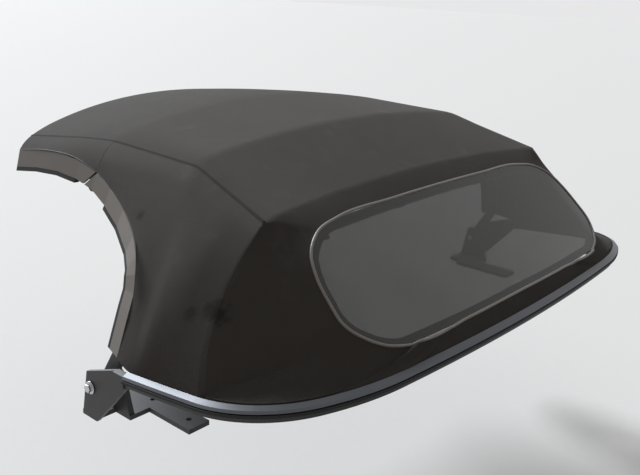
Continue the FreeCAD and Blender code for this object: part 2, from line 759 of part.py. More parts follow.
def front_trim():
    return side_bar(range(0, JOINT_ROW + 2), 0.0, TRIM_WIDTH, 0.0, TRIM_GAUGE).cut(joint_side(1))


def front_seal():
    return side_bar(range(0, JOINT_ROW), TRIM_WIDTH + SEAT, SEAL_WIDTH, 0.0, SEAL_DEPTH)


def front_pins():
    pivot = bar_x(FRONT_PIVOT, FRONT_PIN, FRONT_LUG_X - RAIL_DEPTH, FRONT_LUG_X + MAIN_LUG_DEPTH)
    link = bar_x(LINK_PIVOT, LINK_PIN, LINK_X - PIN_END, FRONT_LUG_X + PIN_END)
    return Part.makeCompound([pivot, mirrored(pivot), link, mirrored(link)])


# Locating pins under the header bow, with the height of each collar's lower face
LOCATING_X = 380.0
LOCATING_Y = -625.0
LOCATING_Z = 437.0
LOCATING_RADIUS = 6.0
LOCATING_LENGTH = 25.0
LOCATING_TIP = 8.0
COLLAR_RADIUS = 11.0
COLLAR_HEIGHT = 19.0


def locating_pins():
    seat = V(LOCATING_X, LOCATING_Y, LOCATING_Z)
    low = seat - V(0, 0, LOCATING_LENGTH)
    shank = Part.makeCylinder(LOCATING_RADIUS, LOCATING_LENGTH, low)
    tip = Part.makeCone(LOCATING_RADIUS / 2.0, LOCATING_RADIUS, LOCATING_TIP, low - V(0, 0, LOCATING_TIP))
    collar = Part.makeCylinder(COLLAR_RADIUS, COLLAR_HEIGHT, seat)
    pin = shank.fuse([tip, collar]).cut(header_bow())
    pin = max(pin.Solids, key=lambda s: s.Volume)
    return both(pin)


def latch_base():
    y, z = LATCH_PIVOT
    block = box(-45.0, 45.0, y - 22.0, y + 22.0, z + 10.0, z + 40.0)
    ears = [box(x0, x0 + PLATE, y - 9.0, y + 9.0, z - 9.0, z + 12.0) for x0 in (-22.0, 14.0)]
    claw = [(y - 18.0, z + 22.0), (y - 52.0, z + 14.0), (y - 56.0, z + 2.0)]
    claw += [(y - 50.0, z + 2.0), (y - 46.0, z + 8.0), (y - 18.0, z + 12.0)]
    hook = plate_x(claw, 26.0, 34.0)
    base = block.fuse(ears + [hook, mirrored(hook)])
    base = base.cut(bar_x(LATCH_PIVOT, LATCH_PIN + PIN_PLAY, -WIDE, WIDE))
    base = base.cut([header_bow(), header_seal()])
    return max(base.Solids, key=lambda s: s.Volume)


def latch_handle():
    y, z = LATCH_PIVOT
    hub = bar_x(LATCH_PIVOT, EYE_RADIUS, -14.0 + SEAT, 14.0 - SEAT)
    side = [(y, z + 5.0), (y + 96.0, z + 3.0), (y + 110.0, z - 4.0), (y + 92.0, z - 6.0), (y, z - 6.0)]
    lever = plate_x(side, -12.0, 12.0)
    pin = bar_x(LATCH_PIVOT, LATCH_PIN, -24.0, 24.0)
    return hub.fuse([lever, pin])


# Middle bow

BOW_LUG_DEPTH = 11.0


def bow_link():
    x0, x1 = LINK_X, LINK_X + LINK_GAUGE
    link = strap_x(LINK_PIVOT, BOW_PIVOT, EYE_RADIUS, EYE_RADIUS, x0, x1)
    link = link.cut(bar_x(LINK_PIVOT, LINK_PIN + PIN_PLAY, 0.0, WIDE))
    return link.cut(bar_x(BOW_PIVOT, LINK_PIN + PIN_PLAY, 0.0, WIDE))


def middle_bow():
    lug_x1 = LINK_X - SEAT
    row = bend_row("middle", BOW_RADIUS + CLOTH + COVER_GAP, lug_x1 + 3.0)
    bow = tube(row_edges(row), BOW_RADIUS)
    end = row[-1]
    lug_x0 = lug_x1 - BOW_LUG_DEPTH
    lug = strap_x((end.y, end.z - 2.0), BOW_PIVOT, EYE_RADIUS, EYE_RADIUS, lug_x0, lug_x1)
    pin = bar_x(BOW_PIVOT, LINK_PIN, lug_x0, LINK_X + LINK_GAUGE + PIN_END)
    ends = [lug, pin]
    past = box(lug_x1, WIDE, -WIDE, WIDE, 0.0, WIDE)
    bow = bow.cut([past, mirrored(past)])
    return bow.fuse(ends + [mirrored(s) for s in ends])


def main():
    os.makedirs("parts", exist_ok=True)
    save_pair("main_bracket", main_bracket())
    save("tension_bow", tension_bow())
    save("base_moulding", base_moulding())
    save("base_seal", base_seal())
    save("cover_hem", cover_hem())
    save_pair("main_rail", main_rail())
    save_pair("rear_trim", rear_trim())
    save_pair("rear_seal", rear_seal())
    save("main_pins", main_pins())
    save_pair("side_cover", side_cover())
    save_pair("quarter_cover", quarter_cover())
    save("header_bow", header_bow())
    save("header_seal", header_seal())
    save("front_bow", front_bow())
    save_pair("front_rail", front_rail())
    save_pair("front_trim", front_trim())
    save_pair("front_seal", front_seal())
    save("front_pins", front_pins())
    save("locating_pins", locating_pins())
    save("latch_base", latch_base())
    save("latch_handle", latch_handle())
    save("front_cover", front_cover())
    save("roof_cover", roof_cover())
    save_pair("bow_link", bow_link())
    save("middle_bow", middle_bow())
    save("rear_glass", rear_glass())
    save("window_frame", window_frame())
    save("corner_bow", corner_bow())
    save("rear_roof_cover", rear_roof_cover())
    save("rear_cover", rear_cover())
    save_pair("rear_corner", rear_corner())


main()
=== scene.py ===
import json
import math

import bpy
import numpy as np
from mathutils import Matrix, Vector
from mathutils.bvhtree import BVHTree

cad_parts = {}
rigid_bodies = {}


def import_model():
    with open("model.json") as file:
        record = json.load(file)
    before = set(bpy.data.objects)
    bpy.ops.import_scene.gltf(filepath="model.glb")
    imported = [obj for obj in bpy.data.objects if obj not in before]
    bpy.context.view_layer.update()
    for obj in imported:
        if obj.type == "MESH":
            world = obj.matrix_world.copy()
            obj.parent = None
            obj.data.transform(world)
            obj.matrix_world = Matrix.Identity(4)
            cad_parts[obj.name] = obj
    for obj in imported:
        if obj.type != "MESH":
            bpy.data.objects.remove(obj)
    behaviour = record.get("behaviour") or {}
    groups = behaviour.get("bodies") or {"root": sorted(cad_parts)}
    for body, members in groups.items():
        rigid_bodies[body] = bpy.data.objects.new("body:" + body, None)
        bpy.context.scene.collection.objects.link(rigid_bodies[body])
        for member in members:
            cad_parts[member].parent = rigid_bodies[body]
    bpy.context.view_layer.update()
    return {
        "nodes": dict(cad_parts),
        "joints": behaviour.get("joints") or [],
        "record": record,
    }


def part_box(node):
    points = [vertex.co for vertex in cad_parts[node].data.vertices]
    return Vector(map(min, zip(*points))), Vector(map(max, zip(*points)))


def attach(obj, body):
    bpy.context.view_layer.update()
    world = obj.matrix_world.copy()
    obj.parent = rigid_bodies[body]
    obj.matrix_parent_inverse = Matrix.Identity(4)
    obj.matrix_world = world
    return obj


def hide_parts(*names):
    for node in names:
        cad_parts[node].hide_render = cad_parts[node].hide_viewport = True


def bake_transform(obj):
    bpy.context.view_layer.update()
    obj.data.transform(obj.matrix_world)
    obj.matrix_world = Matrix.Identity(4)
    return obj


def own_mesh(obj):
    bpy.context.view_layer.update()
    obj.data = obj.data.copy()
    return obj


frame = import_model()
nodes = frame["nodes"]

# Folding soft top of a two-seat open car, in metres
# X points to the car's left, Y to its rear and Z up

# Thickness of the cloth, and the longest step of its surface from front to rear
CLOTH = 0.003
GRID = 0.009

# Bends of the cover, each in a plane that leans to the rear as it goes down
# name: (middle y, middle z, lean, shoulder x, shoulder z, seam x, seam z, foot x, foot z, softness)
BENDS = {
    "header": (-0.740, 0.500, 1.256, 0.400, 0.458, 0.475, 0.438, 0.526, 0.414, 0.0),
    "front": (-0.600, 0.516, 0.940, 0.400, 0.474, 0.475, 0.453, 0.526, 0.431, 0.070),
    "crown": (-0.450, 0.527, 0.546, 0.400, 0.489, 0.475, 0.468, 0.530, 0.4355, 0.045),
    "main": (-0.353, 0.530, 0.528, 0.401, 0.496, 0.475, 0.475, 0.542, 0.422, 0.018),
    "middle": (-0.070, 0.511, 0.258, 0.420, 0.485, 0.475, 0.466, 0.530, 0.411, 0.012),
    "corner": (0.138, 0.433, 0.745, 0.460, 0.416, 0.507, 0.408, 0.543, 0.386, 0.018),
}
HEADER, FRONT, CROWN, MAIN, MIDDLE, CORNER = range(len(BENDS))

# Upper edge of the side window's trim from the joint between its two halves down to the foot
SIDE_EDGE = (
    (0.542, -0.297, 0.422),
    (0.557, -0.231, 0.403),
    (0.580, -0.157, 0.379),
    (0.612, -0.084, 0.349),
    (0.637, -0.043, 0.324),
    (0.652, -0.026, 0.296),
    (0.662, -0.020, 0.262),
    (0.701, -0.024, 0.147),
)

# Columns from the seam to the base edge, between the middle and the corner bend
# share of the way at the seam, place on the base edge in half arcs, bulge as x, y, z
QUARTER_COLUMNS = (
    (0.0, 0.0, 0.030, 0.029, 0.027),
    (0.47, 0.30, 0.040, 0.014, 0.024),
    (0.68, 1.0, 0.037, 0.004, 0.021),
    (0.85, 1.5, 0.032, -0.004, 0.016),
    (1.0, 2.0, 0.028, -0.010, 0.010),
)

# Where the side cover ends and the quarter cover starts
SPLIT = MIDDLE + QUARTER_COLUMNS[1][0]

# Length over which the middle crease is rounded at the seam, how much that grows to the foot,
# the largest share of the strip that it takes, and where it stops short of the corner bend
CREASE_SOFT = 0.012
CREASE_FADE = 0.085
CREASE_SHARE = 0.45
CREASE_STOP = 4.9

# Outward bow of the strip beside the trim, as a share of its width
STRIP_BOW = 0.012

# Share of the side's height over which it is drawn up to the seam
SEAM_PULL = 0.35

# Cross section of the stitched seam: place across and height
SEAM_PROFILE = (
    (-0.0030, 0.0001),
    (-0.0026, 0.0007),
    (-0.0008, 0.0008),
    (0.0, 0.0003),
    (0.0008, 0.0008),
    (0.0026, 0.0007),
    (0.0030, 0.0001),
)

# Weights of the seam's direction in the normals beside it, by columns away from it
ROOF_BLEND = ((1, 1.0), (2, 0.6), (3, 0.2))
SIDE_BLEND = ((0, 1.0), (1, 0.8), (2, 0.6), (3, 0.4), (4, 0.2))
REAR_BLEND = ((1, 1.0), (2, 0.75), (3, 0.45), (4, 0.2))

# Base edge from the middle of the rear round to the left front end: radius, turn in degrees
BASE_REAR = 0.435
BASE_REAR_Z = 0.182
BASE_FALL = 51.0 / 494.0
BASE_TURNS = ((5.136, 4.8), (0.495, 19.7), (0.195, 31.5), (0.195, 31.5), (5.490, 1.9))
BASE_STEPS = 12

# The cloth goes down behind the moulding's inner edge: inwards and up from the base edge
CLOTH_TUCK = (-0.0009, -0.0022)

# The hem clamped in the moulding: inwards, and the heights of its rows
HEM_INSET = -0.0052
HEM_LIFTS = (-0.010, -0.004, 0.001)
HEM_STEPS = 6
HEM_GAUGE = 0.0015

# Rear glass outline from the top middle, as (across, down) in a flat plane
GLASS_TOP = Vector((0.0, 0.192, 0.400))
GLASS_DOWN = Vector((0.0, 0.223, -0.185)).normalized()
GLASS_OUT = Vector((1.0, 0.0, 0.0)).cross(GLASS_DOWN)
GLASS_OUTLINE = (
    (0.0, 0.0),
    (0.176, 0.0015),
    (0.347, 0.0064),
    (0.418, 0.023),
    (0.466, 0.061),
    (0.484, 0.104),
    (0.4905, 0.155),
    (0.4895, 0.200),
    (0.468, 0.235),
    (0.437, 0.262),
    (0.390, 0.281),
    (0.200, 0.289),
    (0.0, 0.290),
)
OUTLINE_STEPS = 16

# Probing of the glass: the middle that a place on its outline is drawn to, the place's weights in
# that, how far it is drawn, the probe's height, and the cosine of the steepest tilt it follows
GLASS_CENTRE = np.array([0.0, 0.150])
GLASS_DRAW = np.array([0.6, 1.0])
GLASS_INSET = 0.006
GLASS_PROBE = 0.1
GLASS_STEEPEST = 0.5

# Rows of the rear cover from the glass to its outer edge, and how far down the corner fold,
# as a share of it, the cover runs to the widest place of the glass
RING_ROWS = 22
RING_LOW = 0.6

# Radius of the bead round the glass and of the cord along the trims, and how deep the cord sits
BEAD_RADIUS = 0.0030
CORD_RADIUS = 0.0016
CORD_SINK = np.array([-0.0012, 0.0, -0.0008])

# Nuts on the pivot pins: pins, joint, body, radius
# NUT_FACE, NUT_TOP and WASHER_WIDTH are shares of that radius
NUTS = (
    ("main_pins", "main_fold", "main_arms", 0.009),
    ("front_pins", "front_hinge", "front_panel", 0.008),
)
NUT_DEPTH = 0.005
NUT_EDGE = 0.0006
NUT_FACE = 0.32
NUT_TOP = 0.14
NUT_BOSS = 0.0016
NUT_BITE = 0.0005
WASHER_WIDTH = 1.45
WASHER_DEPTH = 0.0014
WASHER_EDGE = 0.0003
WASHER_BACK = 0.0033
QUARTER_TURN = math.pi / 2

# Photograph's camera
CAMERA_PLACE = Vector((1.491, 1.131, 0.822))
CAMERA_FORWARD = Vector((-0.7239, -0.6196, -0.3034)).normalized()
CAMERA_ROLL = math.radians(2.03)
CAMERA_LENS = 45.86

CAMERA_SENSOR = 36.0

# Soft sun from the front: the way it shines, its strength, width in degrees and colour
SUN_WAY = Vector((0.30, 1.42, -1.04))
SUN_POWER = 5.2
SUN_WIDTH = 20.0
SUN_COLOUR = (0.90, 0.95, 1.0)

# Window at the front left: its place, what it faces, its size, power and colour
WINDOW_PLACE = Vector((1.6, -2.4, 3.1))
WINDOW_TARGET = Vector((0.6, 0.1, 0.2))
WINDOW_SIZE = (1.6, 1.2)
WINDOW_POWER = 2.2
WINDOW_COLOUR = (0.82, 0.90, 1.0)

# Even light of the sky, and the pale backdrop with the rays that see it
AMBIENT = 0.25
SKY_COLOUR = (1.0, 0.97, 0.93, 1.0)
BACKDROP_COLOUR = (0.80, 0.80, 0.81, 1.0)
BACKDROP_RAYS = ("Is Camera Ray", "Is Glossy Ray", "Is Transmission Ray")

# Floor: its height and size, its paper's tones for the rays that see the backdrop, and its tone
# for all others
FLOOR_Z = -0.35
FLOOR_SIZE = 60.0
PAPER_TONES = (0.64, 0.625, 0.605), (0.66, 0.645, 0.625)
PAPER_GLOW = (0.16, 0.13, 0.115)


# Shader expressions


class Socket:
    """An output socket whose arithmetic adds Math nodes to its material."""

    def __init__(self, graph, socket):
        self.graph = graph
        self.socket = socket

    def math(self, operation, *values):
        """One Math node on the values, which are sockets or numbers."""
        return self.graph.add("Math", {"operation": operation}, dict(enumerate(values)))

    def __add__(self, other):
        return self.math("ADD", self, other)

    def __radd__(self, other):
        return self.math("ADD", other, self)

    def __sub__(self, other):
        return self.math("SUBTRACT", self, other)

    def __rsub__(self, other):
        return self.math("SUBTRACT", other, self)

    def __mul__(self, other):
        return self.math("MULTIPLY", self, other)

    def __rmul__(self, other):
        return self.math("MULTIPLY", other, self)

    def sine(self):
        """The sine of this value."""
        return self.math("SINE", self)


class Graph:
    """The nodes of one material or world, with its shader and plain values on that."""

    def __init__(self, owner, shader="Principled BSDF", **constants):
        self.owner = owner
        owner.use_nodes = True
        self.tree = owner.node_tree
        self.shader = self.tree.nodes[shader]
        for key, value in constants.items():
            self.feed(self.shader_input(key), value)

    def shader_input(self, key):
        """The shader's input for a key such as specular_ior_level."""
        return self.shader.inputs[key.replace("_", " ").title().replace("Ior", "IOR")]

    def feed(self, socket, value):
        """Links a socket to an input, or gives the input a plain value."""
        if isinstance(value, Socket):
            self.tree.links.new(value.socket, socket)
        else:
            socket.default_value = value

    def add(self, kind, settings, inputs, output=0):
        """Adds one node: its settings first, then the values or links of its sockets."""
        node = self.tree.nodes.new("ShaderNode" + kind)
        for key, value in settings.items():
            if key == "stops":
                while len(node.color_ramp.elements) < len(value):
                    node.color_ramp.elements.new(0.5)
                for element, (place, colour) in zip(node.color_ramp.elements, value):
                    element.position = place
                    element.color = (*colour, 1.0)
            else:
                setattr(node, key, value)
        for key, value in inputs.items():
            self.feed(node.inputs[key], value)
        return Socket(self, node.outputs[output])

    def object_place(self):
        """The place on the piece, in metres."""
        return self.add("TexCoord", {}, {}, "Object")

    def uv_place(self):
        """The place on the cloth, in metres across and along."""
        return self.add("UVMap", {"uv_map": "UVMap"}, {})

    def noise(self, place, scale, detail=2.0, roughness=0.5):
        """Cloudy noise from 0 to 1."""
        inputs = {"Vector": place, "Scale": scale, "Detail": detail, "Roughness": roughness}
        return self.add("TexNoise", {}, inputs, "Fac")

    def stretched(self, place, scale):
        """The place with a scale for each axis."""
        return self.add("Mapping", {}, {"Vector": place, "Scale": scale})

    def part(self, place, axis):
        """One coordinate of a place."""
        return self.add("SeparateXYZ", {}, {"Vector": place}, axis)

    def band(self, value, low, high):
        """0 below low, 1 above high, smooth between."""
        settings = {"interpolation_type": "SMOOTHSTEP"}
        return self.add("MapRange", settings, {"Value": value, "From Min": low, "From Max": high})

    def mix(self, factor, a, b):
        """A colour between a and b."""
        colours = [c if isinstance(c, Socket) else (*c, 1.0) for c in (a, b)]
        return self.add("Mix", {"data_type": "RGBA"}, {0: factor, 6: colours[0], 7: colours[1]}, 2)

    def pale_rays(self):
        """1 for the rays that see the pale backdrop, 0 for all others."""
        seen = self.add("LightPath", {}, {}, BACKDROP_RAYS[0])
        for kind in BACKDROP_RAYS[1:]:
            seen = seen.math("MAXIMUM", seen, self.add("LightPath", {}, {}, kind))
        return seen

    def finish(self, colour, height=None, depth=0.001, **others):
        """Feeds the shader and returns the material."""
        if height is not None:
            inputs = {"Height": height, "Distance": depth, "Strength": 1.0}
            others["normal"] = self.add("Bump", {}, inputs)
        for key, value in dict(others, base_color=colour).items():
            self.feed(self.shader_input(key), value)
        return self.owner


def material(name, **constants):
    """The graph of a new material."""
    return Graph(bpy.data.materials.new(name), **constants)


# Finishes


# Spacing of the cloth's threads, of the stitches along a seam and of the seam's two rows
THREAD = 0.0016
STITCH = 0.006
STITCH_ROWS = 0.0042

# Dark marks on the cloth: centre and radius
SMUDGES = (
    ((0.640, 0.185, 0.285), 0.034),
    ((0.650, 0.130, 0.270), 0.024),
    ((0.590, -0.100, 0.385), 0.015),
)


def scaled(colour, share):
    """A darker or paler colour."""
    return tuple(c * share for c in colour)


def canvas(name="canvas", dark=1.0, stitched=False):
    """Charcoal woven cloth, with fibres, faint stains and a soft sheen."""
    g = material(name, sheen_weight=0.04, sheen_roughness=0.5, specular_ior_level=0.05)
    uv = g.uv_place()
    place = g.object_place()
    across, along = g.part(uv, "X"), g.part(uv, "Y")
    thread = 2.0 * math.pi / THREAD
    weave = (across * thread).sine() * (along * thread).sine()
    twill = ((across + along) * (thread * 0.5)).sine()
    fleck = g.noise(uv, 900.0, 2.0)
    cloud = g.noise(place, 5.0, 4.0, 0.6)
    stain = g.band(g.noise(place, 11.0, 3.0, 0.65), 0.58, 0.75)
    streak = g.noise(g.stretched(place, (26.0, 26.0, 2.2)), 1.0, 3.0, 0.6)
    low = scaled((0.059, 0.053, 0.049), dark)
    high = scaled((0.092, 0.085, 0.080), dark)
    colour = g.mix(0.55 * cloud + 0.25 * streak + 0.30 * fleck - 0.05, low, high)
    colour = g.mix(0.25 * stain, colour, scaled((0.120, 0.114, 0.109), dark))
    for centre, size in SMUDGES:
        away = g.add("VectorMath", {"operation": "DISTANCE"}, {0: place, 1: centre}, "Value")
        ragged = away + 2.4 * size * (g.noise(place, 30.0, 5.0, 0.65) - 0.5)
        mark = g.band(ragged, size, 0.2 * size)
        colour = g.mix(0.75 * mark, colour, scaled((0.024, 0.022, 0.021), dark))
    height = 0.35 * weave + 0.15 * twill + 0.25 * fleck + 0.35 * streak
    if stitched:
        stitch = g.band((along * (2.0 * math.pi / STITCH)).sine(), 0.1, 0.6)
        rows = g.band((across * (math.pi / STITCH_ROWS)).sine(), 0.88, 0.98)
        colour = g.mix(0.6 * stitch * rows, colour, (0.02, 0.02, 0.02))
        height = height + 1.5 * stitch * rows
    return g.finish(colour, height, 0.0004, roughness=0.82 + 0.12 * fleck)


def tinted_glass():
    """Green-grey glass with a thin haze and dust."""
    g = material("window_glass", specular_ior_level=0.45)
    place = g.object_place()
    haze = g.noise(place, 7.0, 3.0)
    colour = g.mix(haze, (0.030, 0.031, 0.022), (0.046, 0.045, 0.034))
    dust = g.band(g.noise(place, 60.0, 4.0), 0.5, 0.8)
    return g.finish(colour, roughness=0.03 + 0.05 * dust, alpha=0.74 + 0.06 * haze)


def rubber():
    """Black seal rubber with a fine grain and dust."""
    g = material("seal_rubber", specular_ior_level=0.35)
    place = g.object_place()
    grain = g.noise(place, 260.0, 3.0)
    dust = g.band(g.noise(place, 18.0, 3.0), 0.5, 0.8)
    colour = g.mix(0.5 * dust, (0.012, 0.012, 0.013), (0.035, 0.034, 0.033))
    return g.finish(colour, grain, 0.0003, roughness=0.55 + 0.2 * grain)


def satin_metal(name, low, high, metallic, rough):
    """Coated metal with a fine grain, light scuffs and dust."""
    g = material(name, metallic=metallic)
    place = g.object_place()
    grain = g.noise(g.stretched(place, (900.0, 120.0, 120.0)), 1.0, 2.0)
    cloud = g.noise(place, 9.0, 3.0, 0.6)
    scuff = g.band(g.noise(g.stretched(place, (14.0, 60.0, 60.0)), 1.0, 4.0, 0.7), 0.62, 0.75)
    colour = g.mix(cloud, low, high)
    colour = g.mix(0.2 * scuff, colour, tuple(min(1.0, 1.5 * c) for c in high))
    roughness = rough - 0.05 + 0.1 * cloud + 0.08 * scuff
    return g.finish(colour, 0.6 * grain + 0.4 * scuff, 0.00008, roughness=roughness)


def paint(name, colour, rough, fleck=0.4):
    """Sprayed paint or moulded plastic with a fine orange-peel grain and worn, dusty places."""
    g = material(name)
    place = g.object_place()
    grain = g.noise(place, 420.0, 3.0)
    worn = g.band(g.noise(place, 23.0, 5.0, 0.65), 0.56, 0.72)
    base = g.mix(fleck * grain, colour, tuple(1.6 * c + 0.006 for c in colour))
    base = g.mix(0.35 * worn, base, tuple(2.2 * c + 0.02 for c in colour))
    return g.finish(base, grain, 0.00012, roughness=rough + 0.12 * worn + 0.06 * grain)


def steel():
    """Bright turned steel with a few stains."""
    g = material("pin_steel", metallic=1.0)
    place = g.object_place()
    turned = g.noise(g.stretched(place, (3000.0, 60.0, 60.0)), 1.0, 2.0)
    stain = g.band(g.noise(place, 90.0, 4.0), 0.5, 0.7)
    colour = g.mix(0.5 * stain, (0.56, 0.56, 0.57), (0.33, 0.31, 0.29))
    return g.finish(colour, turned, 0.00003, roughness=0.25 + 0.2 * stain)


TRIM_TONES = (0.165, 0.148, 0.136), (0.215, 0.196, 0.180)
MOULDING_TONES = (0.085, 0.089, 0.100), (0.120, 0.127, 0.142)
FINISHES = {
    "canvas": canvas(),
    "canvas_seam": canvas("canvas_seam", 0.6, True),
    "window_glass": tinted_glass(),
    "glass_edge": paint("glass_edge", (0.20, 0.18, 0.165), 0.32),
    "seal_rubber": rubber(),
    "trim_metal": satin_metal("trim_metal", *TRIM_TONES, 0.04, 0.56),
    "moulding_metal": satin_metal("moulding_metal", *MOULDING_TONES, 0.45, 0.40),
    "frame_paint": paint("frame_paint", (0.029, 0.029, 0.031), 0.45),
    "bracket_steel": paint("bracket_steel", (0.052, 0.052, 0.055), 0.5),
    "pin_steel": steel(),
    "frame_plastic": paint("frame_plastic", (0.016, 0.016, 0.017), 0.5, 0.8),
    "handle_plastic": paint("handle_plastic", (0.030, 0.030, 0.031), 0.5, 0.9),
}


# Curves


def arc_points(start, slope, end, shares):
    """Places on the flat arc that leaves start at a slope and ends at end, and its slope at the end."""
    ahead = (end[0] - start[0], end[1] - start[1])
    half = math.atan2(ahead[1], ahead[0]) - slope
    if abs(half) < 1e-6:
        return [(start[0] + ahead[0] * f, start[1] + ahead[1] * f) for f in shares], slope
    radius = math.hypot(*ahead) / (2.0 * math.sin(half))
    places = []
    for f in shares:
        turn = slope + 2.0 * half * f
        across = radius * (math.sin(turn) - math.sin(slope))
        down = radius * (math.cos(slope) - math.cos(turn))
        places.append((start[0] + across, start[1] + down))
    return places, slope + 2.0 * half


def run_along(points):
    """The distance along a polyline at each of its points."""
    return np.concatenate([[0.0], np.cumsum(np.linalg.norm(np.diff(points, axis=0), axis=1))])


def places_at(at, run, points):
    """Places at distances along a polyline."""
    return np.stack([np.interp(at, run, points[:, k]) for k in range(points.shape[1])], 1)


def spaced(points, shares):
    """Points at shares of the length of a polyline."""
    points = np.asarray(points, float)
    run = run_along(points)
    return places_at(np.asarray(shares) * run[-1], run, points)


def bend_parts(name):
    """The left half of one bend, as its roof part out to the seam and its side part down to the foot."""
    y, z, lean, x1, z1, x2, z2, x3, z3 = BENDS[name][:9]
    fall = math.hypot(1.0, lean)
    fine = np.linspace(0.0, 1.0, 60)
    flat, slope, parts = (0.0, 0.0), 0.0, []
    for end in ((x1, (z - z1) * fall), (x2, (z - z2) * fall), (x3, (z - z3) * fall)):
        places, slope = arc_points(flat, slope, end, fine)
        parts.append([(u, y + w / fall * lean, z - w / fall) for u, w in places])
        flat = end
    return np.array(parts[0] + parts[1][1:]), np.array(parts[2])


def bowed(top, foot, bulge, shares):
    """A column from top to foot whose middle stands off the straight line by bulge."""
    top, foot = np.array(top), np.array(foot)
    control = (top + foot) / 2.0 + 2.0 * np.array(bulge)
    s = np.asarray(shares)[:, None]
    return (1.0 - s) ** 2 * top + 2.0 * s * (1.0 - s) * control + s**2 * foot


def base_edge(offset, lift, steps):
    """The left half of the base edge from the middle of the rear, with steps to each half of an arc."""
    x, y, heading = 0.0, BASE_REAR + offset, 0.0
    points = [(x, y)]
    for radius, turn in BASE_TURNS:
        turn = math.radians(turn)
        for k in range(1, 2 * steps + 1):
            ahead = heading - turn * k / (2 * steps)
            across = (radius + offset) * (math.sin(heading) - math.sin(ahead))
            forward = (radius + offset) * (math.cos(heading) - math.cos(ahead))
            points.append((x + across, y - forward))
        heading -= turn
        x, y = points[-1]
    return np.array([(px, py, BASE_REAR_Z - (BASE_REAR - py) * BASE_FALL + lift) for px, py in points])


BASE_FOOT = base_edge(*CLOTH_TUCK, BASE_STEPS)


def base_place(turns_back):
    """A place on the base edge, counted in half arcs back from its front end."""
    last = len(BASE_FOOT) - 1
    at = last - turns_back * BASE_STEPS
    low = int(math.floor(at))
    share = at - low
    return BASE_FOOT[low] * (1.0 - share) + BASE_FOOT[min(low + 1, last)] * share


def smooth_between(columns, knots, samples):
    """Points on a smooth curve through columns of places, sampled at knot values.

    columns has one row of places for each knot. The curve is a chordal Catmull-Rom spline.
    """
    columns = np.asarray(columns, float)
    steps = np.linalg.norm(np.diff(columns, axis=0), axis=2, keepdims=True) + 1e-9
    slopes = np.diff(columns, axis=0) / steps
    inner = (slopes[:-1] * steps[1:] + slopes[1:] * steps[:-1]) / (steps[1:] + steps[:-1])
    tangents = np.concatenate([slopes[:1], inner, slopes[-1:]])
    made = []
    for t in samples:
        k = int(np.clip(np.searchsorted(knots, t, side="right") - 1, 0, len(knots) - 2))
        f = (t - knots[k]) / (knots[k + 1] - knots[k])
        h = steps[k]
        a, b = columns[k], columns[k + 1]
        made.append(
            (2 * f**3 - 3 * f**2 + 1) * a
            + (f**3 - 2 * f**2 + f) * h * tangents[k]
            + (3 * f**2 - 2 * f**3) * b
            + (f**3 - f**2) * h * tangents[k + 1]
        )
    return np.array(made)


# Master surface of the cover, from the header at 0 to the corner bend at 5

NAMES = list(BENDS)
ROOF_SHARES = np.linspace(0.0, 1.0, 41)
SIDE_SHARES = np.linspace(0.0, 1.0, 45)
TRIM_STEPS = 12


def column_between(share, place, *bulge):
    """A column of the side from the seam, between the middle and the corner bend, to the base edge."""
    middle, corner = [bend_parts(name)[0][-1] for name in ("middle", "corner")]
    return bowed(middle + (corner - middle) * share, base_place(place), bulge, SIDE_SHARES)


def sample_values(knots, columns):
    """Knot values close enough together that no step of the surface is longer than GRID."""
    values = [knots[0]]
    for k in range(len(knots) - 1):
        gap = np.linalg.norm(columns[k + 1] - columns[k], axis=1).max()
        count = max(2, int(math.ceil(gap / GRID)))
        values += list(knots[k] + (knots[k + 1] - knots[k]) * np.arange(1, count + 1) / count)
    return np.array(values)


def trim_edge():
    """The smooth upper edge of the trim behind its joint."""
    last = len(SIDE_EDGE) - 1
    samples = np.linspace(0, last, TRIM_STEPS * last + 1)
    return smooth_between(np.array(SIDE_EDGE)[:, None], np.arange(last + 1.0), samples)[:, 0]


FRONT_COLUMNS = [spaced(bend_parts(name)[1], SIDE_SHARES) for name in NAMES[: MAIN + 1]]
TRIM_EDGE = trim_edge()
STRIP_START = spaced(np.concatenate([bend_parts("main")[1], TRIM_EDGE[1:]]), SIDE_SHARES)
QUARTER = [column_between(*values) for values in QUARTER_COLUMNS]
QUARTER_KNOTS = [MIDDLE + values[0] for values in QUARTER_COLUMNS]
KNOTS = np.array([HEADER, FRONT, CROWN, MAIN] + QUARTER_KNOTS, float)
ALONG = sample_values(KNOTS, FRONT_COLUMNS[:MAIN] + [STRIP_START] + QUARTER)
JOINT = int(np.argmin(np.abs(ALONG - MAIN)))


def rounded(line, corner, before, after, share, reach):
    """Places near a corner moved on to a curve that leaves the way in and joins the way out.

    share runs from -1 at the start of the curve to 1 at its end.
    """
    q = 0.5 + 0.5 * np.clip(share, -1.0, 1.0)
    curve = corner - before * reach * (1.0 - q) ** 2 + after * reach * q**2
    straight = corner + np.where(share < 0.0, before, after) * reach * share
    return np.where(np.abs(share) < 1.0, line + curve - straight, line)


def roof_grid():
    """The left half of the roof from its middle to the seam: straight between bends, soft at each."""
    rows = np.array([spaced(bend_parts(name)[0], ROOF_SHARES) for name in NAMES])
    steps = np.diff(rows, axis=0)
    lengths = np.linalg.norm(steps, axis=2, keepdims=True)
    ways = steps / lengths
    grid = []
    for t in ALONG:
        k = min(int(t), len(NAMES) - 2)
        line = rows[k] + steps[k] * (t - k)
        for corner, share in ((k, (t - k) * lengths[k]), (k + 1, (t - k - 1) * lengths[k])):
            reach = BENDS[NAMES[corner]][-1]
            if 0 < corner < len(NAMES) - 1 and reach > 0.0:
                line = rounded(line, rows[corner], ways[corner - 1], ways[corner], share / reach, reach)
        grid.append(line)
    return np.array(grid)


